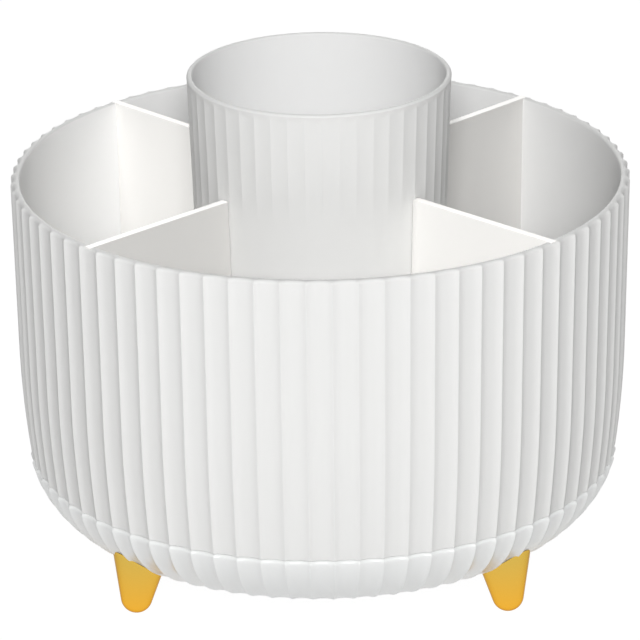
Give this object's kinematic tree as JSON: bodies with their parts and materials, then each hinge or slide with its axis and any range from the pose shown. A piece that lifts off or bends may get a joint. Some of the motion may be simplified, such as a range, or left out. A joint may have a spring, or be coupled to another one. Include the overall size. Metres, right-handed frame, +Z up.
{
  "type": "rotating desk organizer",
  "caption": "Round fluted desk organizer with tray compartments around a tall pen cup, turning on a ball turntable in a shallow base with gold feet.",
  "frame": {"origin": "on the desk surface, under the centre of the organizer", "axes": "+Z up along the turning axis, -Y towards the viewer, +X to the viewer's right"},
  "size_m": [0.16, 0.16, 0.1294],
  "materials": {
    "white_shell": "moulded satin, slightly glossy",
    "white_insert": "moulded satin plate",
    "gold_plate": "polished plating",
    "turntable_plastic": "moulded acetal",
    "steel": "zinc plated"
  },
  "bodies": {
    "base": {"base_shell": "white_shell", "foot_front_left": "gold_plate", "foot_front_right": "gold_plate", "foot_back_left": "gold_plate", "foot_back_right": "gold_plate", "foot_screws": "steel", "lower_race": "turntable_plastic", "lower_race_screws": "steel", "spindle": "turntable_plastic", "spindle_screws": "steel", "retaining_washer": "steel", "retaining_screw": "steel"},
    "bearing": {"ball_cage": "turntable_plastic", "bearing_balls": "steel"},
    "carousel": {"drum": "white_shell", "hub_bush": "turntable_plastic", "upper_race": "turntable_plastic", "upper_race_screws": "steel", "divider_front_left": "white_insert", "divider_front_right": "white_insert", "divider_back_left": "white_insert", "divider_back_right": "white_insert", "pen_cup": "white_shell", "pen_cup_screws": "steel"}
  },
  "joints": [
    {"name": "carousel_spin", "type": "hinge", "parent": "base", "child": "carousel", "pos_m": [0, 0, 0.02], "axis": [0, 0, 1], "continuous": true},
    {"name": "cage_spin", "type": "hinge", "parent": "base", "child": "bearing", "pos_m": [0, 0, 0.02], "axis": [0, 0, 1], "continuous": true}
  ],
  "couplings": [
    {"joint": "cage_spin", "follows": "carousel_spin", "ratio": 0.5}
  ]
}
